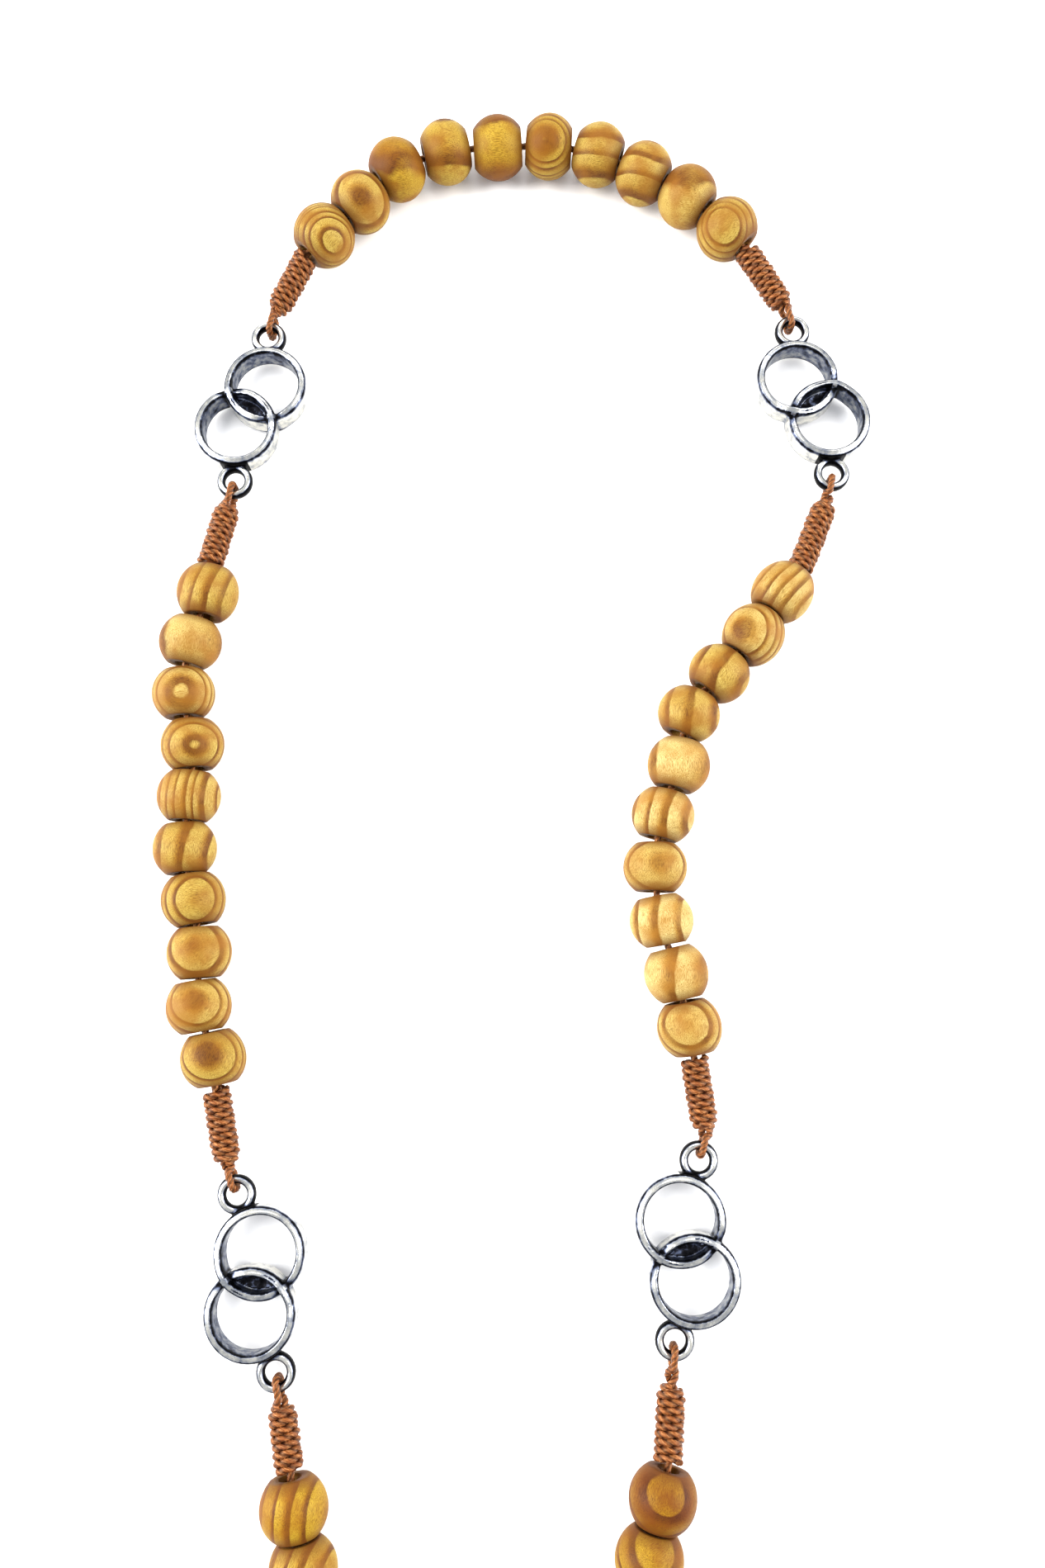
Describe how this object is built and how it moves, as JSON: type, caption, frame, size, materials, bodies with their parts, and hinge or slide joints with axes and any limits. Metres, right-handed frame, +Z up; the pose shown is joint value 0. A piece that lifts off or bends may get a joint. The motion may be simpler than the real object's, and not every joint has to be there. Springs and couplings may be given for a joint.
{
  "type": "rosary",
  "caption": "Knotted-cord rosary of turned wooden beads with interlocked ring connectors, an oval centrepiece, a short pendant and a plain inlaid cross.",
  "frame": {"origin": "bottom centre of the rosary as it lies flat, on the surface it lies on", "axes": "+Y from the cross towards the top decade, +X to the right, +Z up from the surface"},
  "size_m": [0.0952, 0.3868, 0.0085],
  "materials": {
    "pine_beads": "turned pine, satin varnish",
    "satin_cord": "twisted copper-brown nylon with a satin sheen",
    "antique_silver": "cast, antiqued silver plate with dark recesses",
    "inlay_pine": "thin oiled pine panel"
  },
  "bodies": {
    "top_strand": {"decade_3_cord": "satin_cord"},
    "ring_link_upper_left": {"ring_connector_upper_left": "antique_silver"},
    "ring_link_upper_right": {"ring_connector_upper_right": "antique_silver"},
    "ring_link_lower_left": {"ring_connector_lower_left": "antique_silver"},
    "ring_link_lower_right": {"ring_connector_lower_right": "antique_silver"},
    "left_strand": {"decade_2_cord": "satin_cord"},
    "right_strand": {"decade_4_cord": "satin_cord"},
    "lower_loop": {"decade_1_cord": "satin_cord", "decade_5_cord": "satin_cord", "centrepiece": "antique_silver", "decade_1_bead_run": "pine_beads", "decade_5_bead_run": "pine_beads"},
    "pendant_strand": {"pendant_cord": "satin_cord"},
    "cross": {"cross_frame": "antique_silver", "cross_inlay": "inlay_pine"},
    "decade_3_bead_1": {"decade_3_bead_1": "pine_beads"},
    "decade_3_bead_2": {"decade_3_bead_2": "pine_beads"},
    "decade_3_bead_3": {"decade_3_bead_3": "pine_beads"},
    "decade_3_bead_4": {"decade_3_bead_4": "pine_beads"},
    "decade_3_bead_5": {"decade_3_bead_5": "pine_beads"},
    "decade_3_bead_6": {"decade_3_bead_6": "pine_beads"},
    "decade_3_bead_7": {"decade_3_bead_7": "pine_beads"},
    "decade_3_bead_8": {"decade_3_bead_8": "pine_beads"},
    "decade_3_bead_9": {"decade_3_bead_9": "pine_beads"},
    "decade_3_bead_10": {"decade_3_bead_10": "pine_beads"},
    "decade_2_bead_1": {"decade_2_bead_1": "pine_beads"},
    "decade_2_bead_2": {"decade_2_bead_2": "pine_beads"},
    "decade_2_bead_3": {"decade_2_bead_3": "pine_beads"},
    "decade_2_bead_4": {"decade_2_bead_4": "pine_beads"},
    "decade_2_bead_5": {"decade_2_bead_5": "pine_beads"},
    "decade_2_bead_6": {"decade_2_bead_6": "pine_beads"},
    "decade_2_bead_7": {"decade_2_bead_7": "pine_beads"},
    "decade_2_bead_8": {"decade_2_bead_8": "pine_beads"},
    "decade_2_bead_9": {"decade_2_bead_9": "pine_beads"},
    "decade_2_bead_10": {"decade_2_bead_10": "pine_beads"},
    "decade_4_bead_1": {"decade_4_bead_1": "pine_beads"},
    "decade_4_bead_2": {"decade_4_bead_2": "pine_beads"},
    "decade_4_bead_3": {"decade_4_bead_3": "pine_beads"},
    "decade_4_bead_4": {"decade_4_bead_4": "pine_beads"},
    "decade_4_bead_5": {"decade_4_bead_5": "pine_beads"},
    "decade_4_bead_6": {"decade_4_bead_6": "pine_beads"},
    "decade_4_bead_7": {"decade_4_bead_7": "pine_beads"},
    "decade_4_bead_8": {"decade_4_bead_8": "pine_beads"},
    "decade_4_bead_9": {"decade_4_bead_9": "pine_beads"},
    "decade_4_bead_10": {"decade_4_bead_10": "pine_beads"},
    "decade_1_bead_1": {"decade_1_bead_1": "pine_beads"},
    "decade_1_bead_2": {"decade_1_bead_2": "pine_beads"},
    "decade_1_bead_3": {"decade_1_bead_3": "pine_beads"},
    "decade_1_bead_4": {"decade_1_bead_4": "pine_beads"},
    "decade_1_bead_5": {"decade_1_bead_5": "pine_beads"},
    "decade_5_bead_1": {"decade_5_bead_1": "pine_beads"},
    "decade_5_bead_2": {"decade_5_bead_2": "pine_beads"},
    "decade_5_bead_3": {"decade_5_bead_3": "pine_beads"},
    "decade_5_bead_4": {"decade_5_bead_4": "pine_beads"},
    "decade_5_bead_5": {"decade_5_bead_5": "pine_beads"},
    "pendant_bead_1": {"pendant_bead_1": "pine_beads"},
    "pendant_bead_2": {"pendant_bead_2": "pine_beads"},
    "pendant_bead_3": {"pendant_bead_3": "pine_beads"},
    "pendant_bead_4": {"pendant_bead_4": "pine_beads"},
    "pendant_bead_5": {"pendant_bead_5": "pine_beads"}
  },
  "joints": [
    {"name": "left_strand_swing", "type": "hinge", "parent": "top_strand", "child": "left_strand", "pos_m": [-0.03845, 0.14046, 0.0021], "axis": [0, 0, 1], "range_deg": [-6, 6]},
    {"name": "right_strand_swing", "type": "hinge", "parent": "top_strand", "child": "right_strand", "pos_m": [0.04227, 0.14153, 0.0021], "axis": [0, 0, 1], "range_deg": [-6.5, 6.5]},
    {"name": "lower_loop_swing", "type": "hinge", "parent": "left_strand", "child": "lower_loop", "pos_m": [-0.03466, 0.04792, 0.0021], "axis": [0, 0, 1], "range_deg": [-8.8, 8.8]},
    {"name": "pendant_swing", "type": "hinge", "parent": "lower_loop", "child": "pendant_strand", "pos_m": [-0.00407, -0.08172, 0.0021], "axis": [0, 0, 1], "range_deg": [-35, 35]},
    {"name": "cross_swing", "type": "hinge", "parent": "pendant_strand", "child": "cross", "pos_m": [-0.00377, -0.15152, 0.0021], "axis": [0, 0, 1], "range_deg": [-40, 40]},
    {"name": "ring_roll_upper_left", "type": "hinge", "parent": "top_strand", "child": "ring_link_upper_left", "pos_m": [-0.03652, 0.15088, 0.0021], "axis": [-0.1822, -0.9833, 0], "range_deg": [-10, 10]},
    {"name": "ring_roll_upper_right", "type": "hinge", "parent": "top_strand", "child": "ring_link_upper_right", "pos_m": [0.03998, 0.15188, 0.0021], "axis": [0.2164, -0.9763, 0], "range_deg": [-10, 10]},
    {"name": "ring_roll_lower_left", "type": "hinge", "parent": "lower_loop", "child": "ring_link_lower_left", "pos_m": [-0.03192, 0.03768, 0.0021], "axis": [0.2588, -0.9659, 0], "range_deg": [-10, 10]},
    {"name": "ring_roll_lower_right", "type": "hinge", "parent": "lower_loop", "child": "ring_link_lower_right", "pos_m": [0.02048, 0.04148, 0.0021], "axis": [-0.1599, -0.9871, 0], "range_deg": [-10, 10]},
    {"name": "decade_3_bead_1_spin", "type": "hinge", "parent": "top_strand", "child": "decade_3_bead_1", "pos_m": [-0.02697, 0.17548, 0.00425], "axis": [0.6854, 0.7256, 0.0615], "continuous": true},
    {"name": "decade_3_bead_2_spin", "type": "hinge", "parent": "top_strand", "child": "decade_3_bead_2", "pos_m": [-0.02207, 0.18058, 0.00425], "axis": [0.7, 0.7141, 0], "continuous": true},
    {"name": "decade_3_bead_3_spin", "type": "hinge", "parent": "top_strand", "child": "decade_3_bead_3", "pos_m": [-0.01707, 0.18558, 0.00425], "axis": [0.8355, 0.5494, 0], "continuous": true},
    {"name": "decade_3_bead_4_spin", "type": "hinge", "parent": "top_strand", "child": "decade_3_bead_4", "pos_m": [-0.01027, 0.18828, 0.00425], "axis": [0.9719, 0.2352, 0], "continuous": true},
    {"name": "decade_3_bead_5_spin", "type": "hinge", "parent": "top_strand", "child": "decade_3_bead_5", "pos_m": [-0.00307, 0.18898, 0.00425], "axis": [0.9981, 0.0623, 0], "continuous": true},
    {"name": "decade_3_bead_6_spin", "type": "hinge", "parent": "top_strand", "child": "decade_3_bead_6", "pos_m": [0.00413, 0.18918, 0.00425], "axis": [0.9969, -0.0791, 0], "continuous": true},
    {"name": "decade_3_bead_7_spin", "type": "hinge", "parent": "top_strand", "child": "decade_3_bead_7", "pos_m": [0.01103, 0.18788, 0.00425], "axis": [0.9527, -0.3039, 0], "continuous": true},
    {"name": "decade_3_bead_8_spin", "type": "hinge", "parent": "top_strand", "child": "decade_3_bead_8", "pos_m": [0.01733, 0.18498, 0.00425], "axis": [0.8843, -0.467, 0], "continuous": true},
    {"name": "decade_3_bead_9_spin", "type": "hinge", "parent": "top_strand", "child": "decade_3_bead_9", "pos_m": [0.02333, 0.18138, 0.00425], "axis": [0.8029, -0.5961, 0], "continuous": true},
    {"name": "decade_3_bead_10_spin", "type": "hinge", "parent": "top_strand", "child": "decade_3_bead_10", "pos_m": [0.02873, 0.17648, 0.00425], "axis": [0.703, -0.7084, -0.0627], "continuous": true},
    {"name": "decade_2_bead_1_spin", "type": "hinge", "parent": "left_strand", "child": "decade_2_bead_1", "pos_m": [-0.04097, 0.12418, 0.004], "axis": [-0.1195, -0.9914, 0.0541], "continuous": true},
    {"name": "decade_2_bead_2_spin", "type": "hinge", "parent": "left_strand", "child": "decade_2_bead_2", "pos_m": [-0.04297, 0.11748, 0.004], "axis": [-0.1873, -0.9823, 0], "continuous": true},
    {"name": "decade_2_bead_3_spin", "type": "hinge", "parent": "left_strand", "child": "decade_2_bead_3", "pos_m": [-0.04357, 0.11058, 0.004], "axis": [0.0651, -0.9979, 0], "continuous": true},
    {"name": "decade_2_bead_4_spin", "type": "hinge", "parent": "left_strand", "child": "decade_2_bead_4", "pos_m": [-0.04207, 0.10378, 0.004], "axis": [0.0935, -0.9956, 0], "continuous": true},
    {"name": "decade_2_bead_5_spin", "type": "hinge", "parent": "left_strand", "child": "decade_2_bead_5", "pos_m": [-0.04227, 0.09708, 0.004], "axis": [-0.0298, -0.9996, 0], "continuous": true},
    {"name": "decade_2_bead_6_spin", "type": "hinge", "parent": "left_strand", "child": "decade_2_bead_6", "pos_m": [-0.04247, 0.09038, 0.004], "axis": [0.091, -0.9958, 0], "continuous": true},
    {"name": "decade_2_bead_7_spin", "type": "hinge", "parent": "left_strand", "child": "decade_2_bead_7", "pos_m": [-0.04107, 0.08388, 0.004], "axis": [0.1803, -0.9836, 0], "continuous": true},
    {"name": "decade_2_bead_8_spin", "type": "hinge", "parent": "left_strand", "child": "decade_2_bead_8", "pos_m": [-0.04007, 0.07728, 0.004], "axis": [0.0902, -0.9959, 0], "continuous": true},
    {"name": "decade_2_bead_9_spin", "type": "hinge", "parent": "left_strand", "child": "decade_2_bead_9", "pos_m": [-0.03987, 0.07068, 0.004], "axis": [0.1751, -0.9845, 0], "continuous": true},
    {"name": "decade_2_bead_10_spin", "type": "hinge", "parent": "left_strand", "child": "decade_2_bead_10", "pos_m": [-0.03777, 0.06438, 0.004], "axis": [0.198, -0.9787, -0.0536], "continuous": true},
    {"name": "decade_4_bead_1_spin", "type": "hinge", "parent": "right_strand", "child": "decade_4_bead_1", "pos_m": [0.03463, 0.12428, 0.004], "axis": [-0.6062, -0.7938, 0.0498], "continuous": true},
    {"name": "decade_4_bead_2_spin", "type": "hinge", "parent": "right_strand", "child": "decade_4_bead_2", "pos_m": [0.03063, 0.11848, 0.004], "axis": [-0.6163, -0.7875, 0], "continuous": true},
    {"name": "decade_4_bead_3_spin", "type": "hinge", "parent": "right_strand", "child": "decade_4_bead_3", "pos_m": [0.02603, 0.11328, 0.004], "axis": [-0.6341, -0.7733, 0], "continuous": true},
    {"name": "decade_4_bead_4_spin", "type": "hinge", "parent": "right_strand", "child": "decade_4_bead_4", "pos_m": [0.02193, 0.10788, 0.004], "axis": [-0.4148, -0.9099, 0], "continuous": true},
    {"name": "decade_4_bead_5_spin", "type": "hinge", "parent": "right_strand", "child": "decade_4_bead_5", "pos_m": [0.02053, 0.10118, 0.004], "axis": [-0.263, -0.9648, 0], "continuous": true},
    {"name": "decade_4_bead_6_spin", "type": "hinge", "parent": "right_strand", "child": "decade_4_bead_6", "pos_m": [0.01833, 0.09468, 0.004], "axis": [-0.2421, -0.9702, 0], "continuous": true},
    {"name": "decade_4_bead_7_spin", "type": "hinge", "parent": "right_strand", "child": "decade_4_bead_7", "pos_m": [0.01723, 0.08798, 0.004], "axis": [-0.0293, -0.9996, 0], "continuous": true},
    {"name": "decade_4_bead_8_spin", "type": "hinge", "parent": "right_strand", "child": "decade_4_bead_8", "pos_m": [0.01793, 0.08128, 0.004], "axis": [0.1772, -0.9842, 0], "continuous": true},
    {"name": "decade_4_bead_9_spin", "type": "hinge", "parent": "right_strand", "child": "decade_4_bead_9", "pos_m": [0.01963, 0.07468, 0.004], "axis": [0.2356, -0.9719, 0], "continuous": true},
    {"name": "decade_4_bead_10_spin", "type": "hinge", "parent": "right_strand", "child": "decade_4_bead_10", "pos_m": [0.02113, 0.06808, 0.004], "axis": [0.185, -0.9814, -0.0515], "continuous": true},
    {"name": "decade_1_bead_1_spin", "type": "hinge", "parent": "lower_loop", "child": "decade_1_bead_1", "pos_m": [-0.02627, 0.01308, 0.004], "axis": [0.1744, -0.9832, 0.0541], "continuous": true},
    {"name": "decade_1_bead_2_spin", "type": "hinge", "parent": "lower_loop", "child": "decade_1_bead_2", "pos_m": [-0.02497, 0.00648, 0.004], "axis": [0.1788, -0.9839, 0], "continuous": true},
    {"name": "decade_1_bead_3_spin", "type": "hinge", "parent": "lower_loop", "child": "decade_1_bead_3", "pos_m": [-0.02387, -0.00012, 0.004], "axis": [0.1644, -0.9864, 0], "continuous": true},
    {"name": "decade_1_bead_4_spin", "type": "hinge", "parent": "lower_loop", "child": "decade_1_bead_4", "pos_m": [-0.02277, -0.00672, 0.004], "axis": [0.1788, -0.9839, 0], "continuous": true},
    {"name": "decade_1_bead_5_spin", "type": "hinge", "parent": "lower_loop", "child": "decade_1_bead_5", "pos_m": [-0.02147, -0.01332, 0.004], "axis": [0.2162, -0.9763, 0], "continuous": true},
    {"name": "decade_5_bead_1_spin", "type": "hinge", "parent": "lower_loop", "child": "decade_5_bead_1", "pos_m": [0.01683, 0.01408, 0.004], "axis": [-0.2293, -0.9719, 0.0536], "continuous": true},
    {"name": "decade_5_bead_2_spin", "type": "hinge", "parent": "lower_loop", "child": "decade_5_bead_2", "pos_m": [0.01513, 0.00758, 0.004], "axis": [-0.2303, -0.9731, 0], "continuous": true},
    {"name": "decade_5_bead_3_spin", "type": "hinge", "parent": "lower_loop", "child": "decade_5_bead_3", "pos_m": [0.01373, 0.00098, 0.004], "axis": [-0.1932, -0.9812, 0], "continuous": true},
    {"name": "decade_5_bead_4_spin", "type": "hinge", "parent": "lower_loop", "child": "decade_5_bead_4", "pos_m": [0.01253, -0.00562, 0.004], "axis": [-0.1861, -0.9825, 0], "continuous": true},
    {"name": "decade_5_bead_5_spin", "type": "hinge", "parent": "lower_loop", "child": "decade_5_bead_5", "pos_m": [0.01123, -0.01222, 0.004], "axis": [-0.2019, -0.9794, 0], "continuous": true},
    {"name": "pendant_bead_1_spin", "type": "hinge", "parent": "pendant_strand", "child": "pendant_bead_1", "pos_m": [-0.00437, -0.09772, 0.004], "axis": [-0.0295, -0.9981, 0.0547], "continuous": true},
    {"name": "pendant_bead_2_spin", "type": "hinge", "parent": "pendant_strand", "child": "pendant_bead_2", "pos_m": [-0.00477, -0.10992, 0.004], "axis": [-0.0238, -0.9997, 0], "continuous": true},
    {"name": "pendant_bead_3_spin", "type": "hinge", "parent": "pendant_strand", "child": "pendant_bead_3", "pos_m": [-0.00487, -0.11662, 0.004], "axis": [0, -1, 0], "continuous": true},
    {"name": "pendant_bead_4_spin", "type": "hinge", "parent": "pendant_strand", "child": "pendant_bead_4", "pos_m": [-0.00477, -0.12332, 0.004], "axis": [0.032, -0.9995, 0], "continuous": true},
    {"name": "pendant_bead_5_spin", "type": "hinge", "parent": "pendant_strand", "child": "pendant_bead_5", "pos_m": [-0.00417, -0.13552, 0.004], "axis": [0.0508, -0.9972, -0.0547], "continuous": true}
  ],
  "couplings": [
    {"joint": "right_strand_swing", "follows": "left_strand_swing", "ratio": 1.0527},
    {"joint": "lower_loop_swing", "follows": "left_strand_swing", "ratio": -1.4389}
  ]
}
